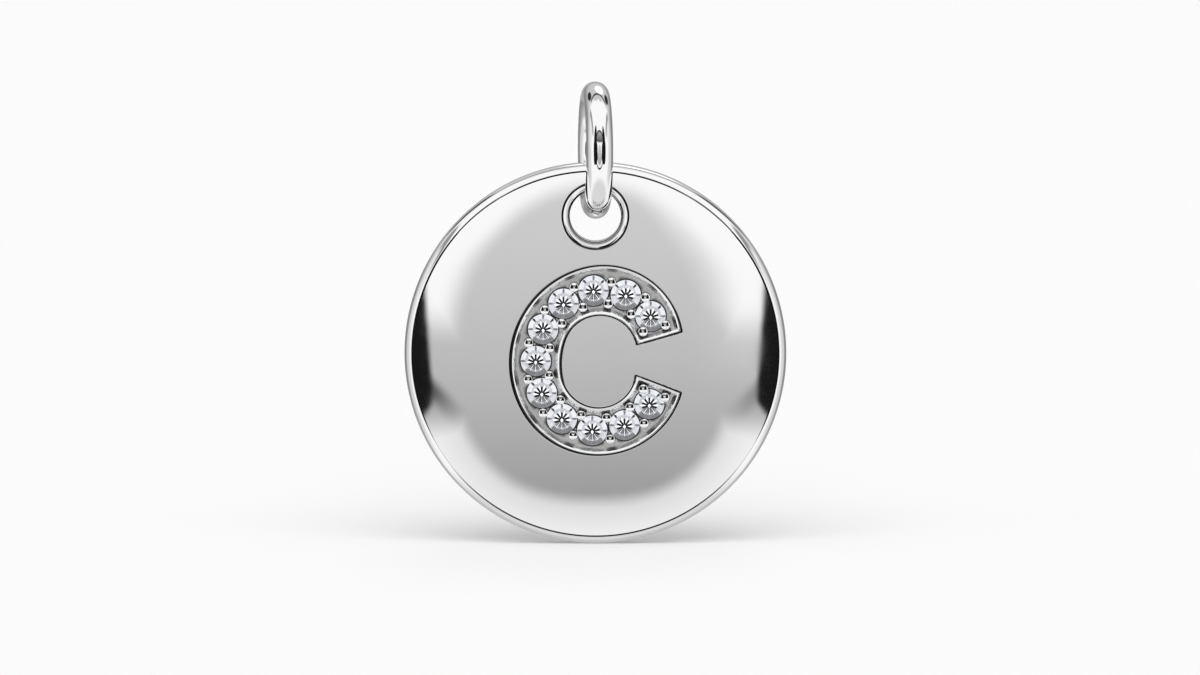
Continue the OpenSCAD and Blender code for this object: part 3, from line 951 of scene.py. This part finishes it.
def build_painted_stone_reflections():
    """The facets seen down inside the stones, painted with reflections: a ring of white blocks
    under the crown, and a star of dark arrows with white kites between them under the table, greyer
    in the lower half."""
    shell = Shell()
    painted_tones = []

    def field(place, layer, painted_tone, shape, mid=0.0, down=0.0):
        """A flat facet painted with this reflection tone in the stone at this place, turned to an
        angle.
        """
        p = np.array([(r * PAINTED_FACETS_R * cos(mid + w), (r * sin(mid + w) - down) * PAINTED_FACETS_R,
                       PAINTED_FACETS_AT + layer * PAINTED_FACETS_STEP) for r, w in shape])
        ids = shell.add(place[0] + p @ place[1].T)
        painted_tones.extend([painted_tone] * len(ids))
        shell.face(ids, [place[1] @ UP] * len(ids))

    for spot in STONES:
        place = dome_frame(spot, CUT_DEPTH)
        field(place, 0, GIRDLE_TONE, GIRDLE_FIELD)
        for k in range(BLOCKS):
            mid = 360 / BLOCKS * (k + 0.5)
            painted_tone = BLOCK_TONES[0 if sin(mid) > 0 else 1 if sin(mid) > -0.6 else 2]
            field(place, 1, painted_tone, BLOCK, mid)
            field(place, 2, painted_tone * BLOCK_FOOT_SHARE, BLOCK_FOOT, mid)
        for k in range(BLOCKS):
            mid = 360 / BLOCKS * k
            painted_tone = SPLIT_TONES[0 if 20 < mid < 160 and mid != 90 else 1]
            field(place, 3, painted_tone, SPLIT, mid)
        field(place, 2.5, TABLE_TONE, TABLE_FIELD)
        for k in range(ARROWS):
            mid = 90 + 360 / ARROWS * (k + 0.5)
            field(place, 3, KITE_TONES[0 if sin(mid) > -0.35 else 1], KITE, mid, STAR_DOWN)
        for k in range(ARROWS):
            mid = 90 + 360 / ARROWS * k
            if sin(mid) < -0.5:
                field(place, 4, LOW_ARROW_TONE, LOW_ARROW, mid, STAR_DOWN)
                field(place, 4.5, LOW_LINE_TONE, LOW_LINE, mid, STAR_DOWN)
            else:
                field(place, 4, ARROW_TONE, ARROW, mid, STAR_DOWN)
        field(place, 5, POINT_TONE, POINT, 0.0, STAR_DOWN)
    obj = shell.build("stone_painted_reflections")
    obj.data.attributes.new("painted_tone", "FLOAT", "POINT").data.foreach_set("value", painted_tones)
    return obj


def new_material(name):
    m = bpy.data.materials.new(name)
    m.use_nodes = True
    tree = m.node_tree
    return m, tree, tree.nodes["Principled BSDF"]


def plug(tree, node, **values):
    """Sets sockets of a node to constants or links them to other nodes' outputs."""
    for title, value in values.items():
        socket = node.inputs[title.replace("_", " ")]
        if isinstance(value, bpy.types.NodeSocket):
            tree.links.new(value, socket)
        else:
            socket.default_value = value


def mixed(tree, under, over, mask):
    """Colour node that lays one colour over another by a mask."""
    n = tree.nodes.new("ShaderNodeMix")
    n.data_type = "RGBA"
    plug(tree, n, A=under, B=over, Factor=mask)
    return n.outputs["Result"]


def ranged(tree, value, low, high, to_low, to_high):
    """The value's range from low to high laid over another range."""
    n = tree.nodes.new("ShaderNodeMapRange")
    plug(tree, n, Value=value, From_Min=low, From_Max=high, To_Min=to_low, To_Max=to_high)
    return n.outputs["Result"]


def mark(tree, name):
    """One of the mesh's own attributes."""
    n = tree.nodes.new("ShaderNodeAttribute")
    n.attribute_name = name
    return n.outputs["Fac"]


def noise(tree, scale, detail=4.0):
    coord = tree.nodes.new("ShaderNodeTexCoord")
    n = tree.nodes.new("ShaderNodeTexNoise")
    plug(tree, n, Vector=coord.outputs["Object"], Scale=scale, Detail=detail)
    return n.outputs["Fac"]


BRIGHT_COLOURS = (0.93, 0.93, 0.935, 1), (0.955, 0.955, 0.96, 1)
SATIN_COLOURS = (0.66, 0.655, 0.65, 1), (0.9, 0.895, 0.89, 1)
SATIN_SCALE = 6000
SATIN_ROUGHNESS = (0.34, 0.44)
NOISE_RANGE = (0.3, 0.7)
PAINTED_SHADE_COLOUR = (0.012, 0.012, 0.013, 1)
PAINTED_SHADE_RANGE = (0.08, 0.38)
PAINTED_SHADE_SHARE = 0.985
BLACK = (0.0, 0.0, 0.0, 1)


def silver(name, roughness, scale):
    """Polished silver: mirror bright on the outside, satin and greyer in the recess, with painted
    shade in the scribed lines, the seats and round the grains' feet, and faint rubbing marks in its
    roughness."""
    m, tree, b = new_material(name)
    polish = noise(tree, scale, 6.0)
    satin = noise(tree, SATIN_SCALE, 3.0)
    bright = mixed(tree, *BRIGHT_COLOURS, polish)
    worn = mixed(tree, *SATIN_COLOURS, satin)
    colour = mixed(tree, bright, worn, mark(tree, "recess"))
    # Painted shade: the line mark darkens creases, seats and grains' feet towards black
    painted_shade = ranged(tree, mark(tree, "line"), *PAINTED_SHADE_RANGE, 0.0, PAINTED_SHADE_SHARE)
    colour = mixed(tree, colour, PAINTED_SHADE_COLOUR, painted_shade)
    shine = tree.nodes.new("ShaderNodeMix")
    plug(tree, shine, A=ranged(tree, polish, *NOISE_RANGE, *roughness),
         B=ranged(tree, satin, *NOISE_RANGE, *SATIN_ROUGHNESS), Factor=mark(tree, "recess"))
    plug(tree, b, Base_Color=colour, Metallic=1.0, Roughness=shine.outputs["Result"])
    return m


def clear_stone():
    """The stones' clear shell, with a hard polish on its facets."""
    m, tree, b = new_material("clear_stone")
    tint = mixed(tree, (0.985, 0.99, 1, 1), (1, 1, 1, 1), noise(tree, 900))
    plug(tree, b, Base_Color=tint, Transmission_Weight=1.0, IOR=1.3, Roughness=0.0)
    return m


def painted_stone_reflections():
    """The stones' inner facets, glowing with painted reflections: white to blue-grey and black, by
    their painted tone.
    """
    m, tree, b = new_material("stone_painted_reflections")
    painted_tone = mark(tree, "painted_tone")
    cold = mixed(tree, BLACK, (0.93, 0.955, 1, 1), painted_tone)
    cloud = ranged(tree, noise(tree, 4200, 2.0), 0.35, 0.65, 0.86, 1.0)
    colour = mixed(tree, BLACK, cold, cloud)
    # The painted reflections are also emitted, so the facets glow though they are no lamp
    plug(tree, b, Base_Color=colour, Emission_Color=colour, Emission_Strength=1.0, Roughness=0.25)
    return m


disc_silver = silver("polished_silver", (0.02, 0.05), 700)
ring_silver = silver("ring_silver", (0.03, 0.06), 900)
stone_glass = clear_stone()

disc = build_disc()
disc.data.materials.append(disc_silver)
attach(disc, "pendant")
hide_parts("disc")

grains = build_grains()
grains.data.materials.append(disc_silver)
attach(grains, "pendant")

painted_stone_facets = build_painted_stone_reflections()
painted_stone_facets.data.materials.append(painted_stone_reflections())
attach(painted_stone_facets, "pendant")

ring = build_ring()
ring.data.materials.append(ring_silver)
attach(ring, "ring")
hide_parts("jump_ring")

for name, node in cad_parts.items():
    node.data.materials.clear()
    node.data.materials.append(stone_glass if name.startswith("stone") else disc_silver)

FLOOR_HALF = 3.0
SUN_SPREAD, SUN_TILT, SUN_ENERGY = 70, 42, 1.38

floor_z = cad_box[0][2]
mesh = bpy.data.meshes.new("floor")
corners = [(x * FLOOR_HALF, y * FLOOR_HALF, floor_z)
           for x, y in ((-1, -1), (1, -1), (1, 1), (-1, 1))]
mesh.from_pydata(corners, [], [(0, 1, 2, 3)])
floor = bpy.data.objects.new("floor", mesh)
bpy.context.scene.collection.objects.link(floor)
m, tree, b = new_material("floor_white")
grain = mixed(tree, (0.925, 0.925, 0.925, 1), (0.935, 0.935, 0.935, 1), noise(tree, 300))
plug(tree, b, Base_Color=grain, Roughness=0.9, Specular_IOR_Level=0.0)
mesh.materials.append(m)
floor.visible_glossy = False
floor.visible_transmission = False

sun_data = bpy.data.lights.new("soft_sun", "SUN")
sun_data.angle = rad(SUN_SPREAD)
sun_data.energy = SUN_ENERGY
sun = bpy.data.objects.new("soft_sun", sun_data)
sun.rotation_euler = (rad(SUN_TILT), 0, 0)
sun.visible_glossy = False
bpy.context.scene.collection.objects.link(sun)


class Value:
    """A number in the world's node tree, with arithmetic that adds nodes."""
    tree = None

    def __init__(self, socket):
        self.socket = socket

    @staticmethod
    def node(op, *inputs):
        n = Value.tree.nodes.new("ShaderNodeMath")
        n.operation = op
        for i, v in enumerate(inputs):
            if isinstance(v, Value):
                Value.tree.links.new(v.socket, n.inputs[i])
            else:
                n.inputs[i].default_value = v
        return Value(n.outputs[0])

    def __add__(self, o):
        return Value.node("ADD", self, o)

    def __sub__(self, o):
        return Value.node("SUBTRACT", self, o)

    def __rsub__(self, o):
        return Value.node("SUBTRACT", o, self)

    def __mul__(self, o):
        return Value.node("MULTIPLY", self, o)

    __radd__, __rmul__ = __add__, __mul__

    def __truediv__(self, o):
        return Value.node("DIVIDE", self, o)

    def __rtruediv__(self, o):
        return Value.node("DIVIDE", o, self)

    def abs(self):
        return Value.node("ABSOLUTE", self)

    def step(self, low, high):
        """0 below low, 1 above high, smooth between them."""
        n = Value.tree.nodes.new("ShaderNodeMapRange")
        n.interpolation_type = "SMOOTHSTEP"
        low, high = (getattr(v, "socket", v) for v in (low, high))
        plug(Value.tree, n, Value=self.socket, From_Min=low, From_Max=high)
        return Value(n.outputs["Result"])

    def fade(self, low, high):
        """1 below low, 0 above high."""
        return 1.0 - self.step(low, high)


def power(a, b):
    return Value.node("POWER", a, b)


def oval(a, e, centre, half):
    """Distance from an oval's middle in shares of its half sizes."""
    u = (a - centre[0]) / half[0]
    v = (e - centre[1]) / half[1]
    return Value.node("SQRT", u * u + v * v)


def box(a, e, centre, half):
    """The same for a shape between an oval and a rectangle."""
    u = ((a - centre[0]) / half[0]).abs()
    v = ((e - centre[1]) / half[1]).abs()
    return power(power(u, 4.0) + power(v, 4.0), 0.25)


def mix(under, over, mask):
    return under + (over - under) * mask


# How light the studio's parts are
SIDE_GREY, CEILING_GREY, CEILING_LINE = 0.68, 0.82, 0.3
GROUND_GREY, NEAR_GROUND = 0.72, 0.93
WALL_GREY, WALL_ABOVE, WALL_BELOW, WALL_MIDDLE = 0.26, 0.34, 0.3, 0.42
REAR_LINE, REAR_CARD, LAMP = 0.05, 0.03, 1.2
ARCH_BLACK, ARCH_GAIN, ARCH_FOOT = 0.03, 0.02, 15.0
SEAM_BLACK, STREAK_BLACK, FLAG_BLACK = 0.02, 0.05, 0.009
BACKDROP = 0.975
# The grey card: its light at the horizon and how that grows with elevation, how much lighter its
# right half is, how far its middle is below the horizon, and its half sizes
CARD_GREY, CARD_RISE, CARD_CURVE, CARD_RIGHT = 0.572, 0.0075, 0.00018, 0.1
CARD_DROP = 4.5
CARD_HALF_W, CARD_HALF_H = 14.5, 15.2


def studio():
    """A white tent with a grey card in front of the object, two black flags beside it, thin dark
    seams between them, and a darker back wall. All of it is drawn by direction from the object,
    in degrees."""
    world = bpy.data.worlds.new("studio")
    bpy.context.scene.world = world
    world.use_nodes = True
    tree = world.node_tree
    Value.tree = tree
    coord = tree.nodes.new("ShaderNodeTexCoord")
    parts = tree.nodes.new("ShaderNodeSeparateXYZ")
    tree.links.new(coord.outputs["Generated"], parts.inputs[0])
    x, y, z = (Value(parts.outputs[i]) for i in range(3))
    degrees = 180 / math.pi
    # Azimuth from the front and elevation; then the angle round the X axis and the one out from
    # the middle plane
    a = Value.node("ARCTAN2", x, y * -1.0) * degrees
    e = Value.node("ARCSINE", z) * degrees
    side, down = a.abs(), 0.0 - e
    pitch = Value.node("ARCTAN2", z, y * -1.0) * degrees
    rightward = Value.node("ARCSINE", x) * degrees
    lateral = rightward.abs()

    light = Value.node("ADD", 1.0, 0.0)
    light = mix(light, SIDE_GREY, side.step(68, 90) * e.abs().fade(22, 45))
    # Overhead: a bright strip with thin grey lines beside it
    above = pitch.step(34, 44) * pitch.fade(109, 112)
    light = mix(light, CEILING_GREY, above * lateral.step(54, 64))
    light = mix(light, CEILING_LINE, above * (lateral - 55.0).abs().fade(2.5, 6.5))
    # Below: light grey, nearly white in front
    light = mix(light, GROUND_GREY, down.step(38, 55))
    light = mix(light, NEAR_GROUND, down.step(9, 14) * down.fade(26, 34) * side.fade(20, 28))
    # The back wall, lighter above, below and in its middle
    wall = WALL_GREY + WALL_ABOVE * e.step(8, 30) + WALL_BELOW * down.step(6, 42)
    light = mix(light, wall, side.step(104, 124) * e.abs().fade(78, 84))
    rear = Value.node("SQRT", (180.0 - side) * (180.0 - side) + e * e)
    light = mix(light, WALL_MIDDLE, rear.fade(12, 22))
    # Behind the top: a dark line at the end of the strip, two black cards and a lamp
    line = pitch.step(109, 111) * pitch.fade(114, 117) * lateral.fade(36, 48)
    light = mix(light, REAR_LINE, line)
    light = mix(light, REAR_CARD, oval(lateral, pitch, (36, 134), (8, 17)).fade(0.7, 1.15))
    light = mix(light, LAMP, oval(rightward, pitch, (7, 129), (17, 15)).fade(0.8, 1.08))
    # A dark arch between the flags, above what the face shows
    arch = side.fade(22, 28) * e.step(14.8, 18) * e.fade(33, 37)
    light = mix(light, ARCH_BLACK + (e - ARCH_FOOT) * ARCH_GAIN, arch)
    # Dark seams that join the flags above and below
    seam = (oval(a, e, (0, 4), (36, 32)) - 1.0).abs()
    light = mix(light, SEAM_BLACK, seam.fade(0.03, 0.07))
    # The grey card: a rounded field that fades in two stages, softer on the upper right
    up = e + CARD_DROP
    lifted = a.step(3, 10) * up.step(1.5, 5)
    grey = CARD_GREY + e * CARD_RISE - e * e * CARD_CURVE
    grey = grey + CARD_RIGHT * a.step(9, 17) * up.step(-6, 2)
    high, top = up.step(0, 0.5), e.step(3, 9)
    round_by = 2.5 - 0.5 * high
    across = side / (CARD_HALF_W - 0.6 * high - 0.6 * a.step(-2, 2))
    reach = up.abs() / (CARD_HALF_H + 0.8 * high)
    card = power(power(across, round_by) + power(reach, round_by), 1.0 / round_by)
    inner_fade = card.fade(0.99 - 0.16 * lifted, 1.13 + 0.1 * high - 0.07 * top)
    outer_fade = card.fade(1.0, 1.38 - 0.1 * high - 0.12 * top)
    mask = 0.66 * inner_fade + 0.34 * outer_fade
    bar = e.step(-14.8, -10.8) * e.fade(-4.4, 0.8) * side.fade(24, 30)
    light = mix(light, grey, Value.node("MAXIMUM", mask, bar))
    # Black flags with tall peaks, each with a soft dark streak inwards from its lower corner
    streak = (e - side + 26.3).abs().fade(0.2, 2.2) * (8.9 - side - e).fade(-1, 8)
    streak = streak * side.fade(18, 22) * (0.95 - 0.4 * a.step(-2, 2))
    light = mix(light, STREAK_BLACK, streak)
    edge = side - 0.07 * e + 0.25 * a.step(-1, 1)
    flag = box(edge, e, (35.3, -1.5), (17.6, 18))
    corner = (e + (side - 17.5) * 1.2 + 10.6).step(-0.6, 0.6)
    light = mix(light, FLAG_BLACK, corner * flag.fade(0.97, 1.01))
    light = mix(light, FLAG_BLACK, oval(side, e, (37, 16), (13, 26)).fade(0.9, 1.05))

    # The room itself looks plain white; the cards and flags show only in what is polished
    seen = Value(tree.nodes.new("ShaderNodeLightPath").outputs["Is Camera Ray"])
    light = mix(light, BACKDROP, seen)
    tree.links.new(light.socket, tree.nodes["Background"].inputs["Color"])


studio()

# The photo's scale in millimetres, its width, and its middle from the disc's own in pixels
PIXEL = 0.0419
PHOTO_W = 1200
AIM_RIGHT, AIM_UP = 4.6, 15.5
DISTANCE = 0.3
ELEVATION = 5.0
SENSOR_W = 36

aim = Vector((AIM_RIGHT * PIXEL, 0, DISC_Z + AIM_UP * PIXEL)) * MM
cam_data = bpy.data.cameras.new("camera")
cam_data.sensor_width = SENSOR_W
cam_data.lens = SENSOR_W * DISTANCE / (PHOTO_W * PIXEL * MM)
cam_data.clip_start, cam_data.clip_end = 0.01, 20
camera = bpy.data.objects.new("camera", cam_data)
away = Vector((0, -cos(ELEVATION), sin(ELEVATION)))
camera.location = aim + away * DISTANCE
camera.rotation_mode = "QUATERNION"
camera.rotation_quaternion = (-away).to_track_quat("-Z", "Y")
bpy.context.scene.collection.objects.link(camera)
bpy.context.scene.camera = camera
bpy.context.scene.view_settings.view_transform = "Standard"
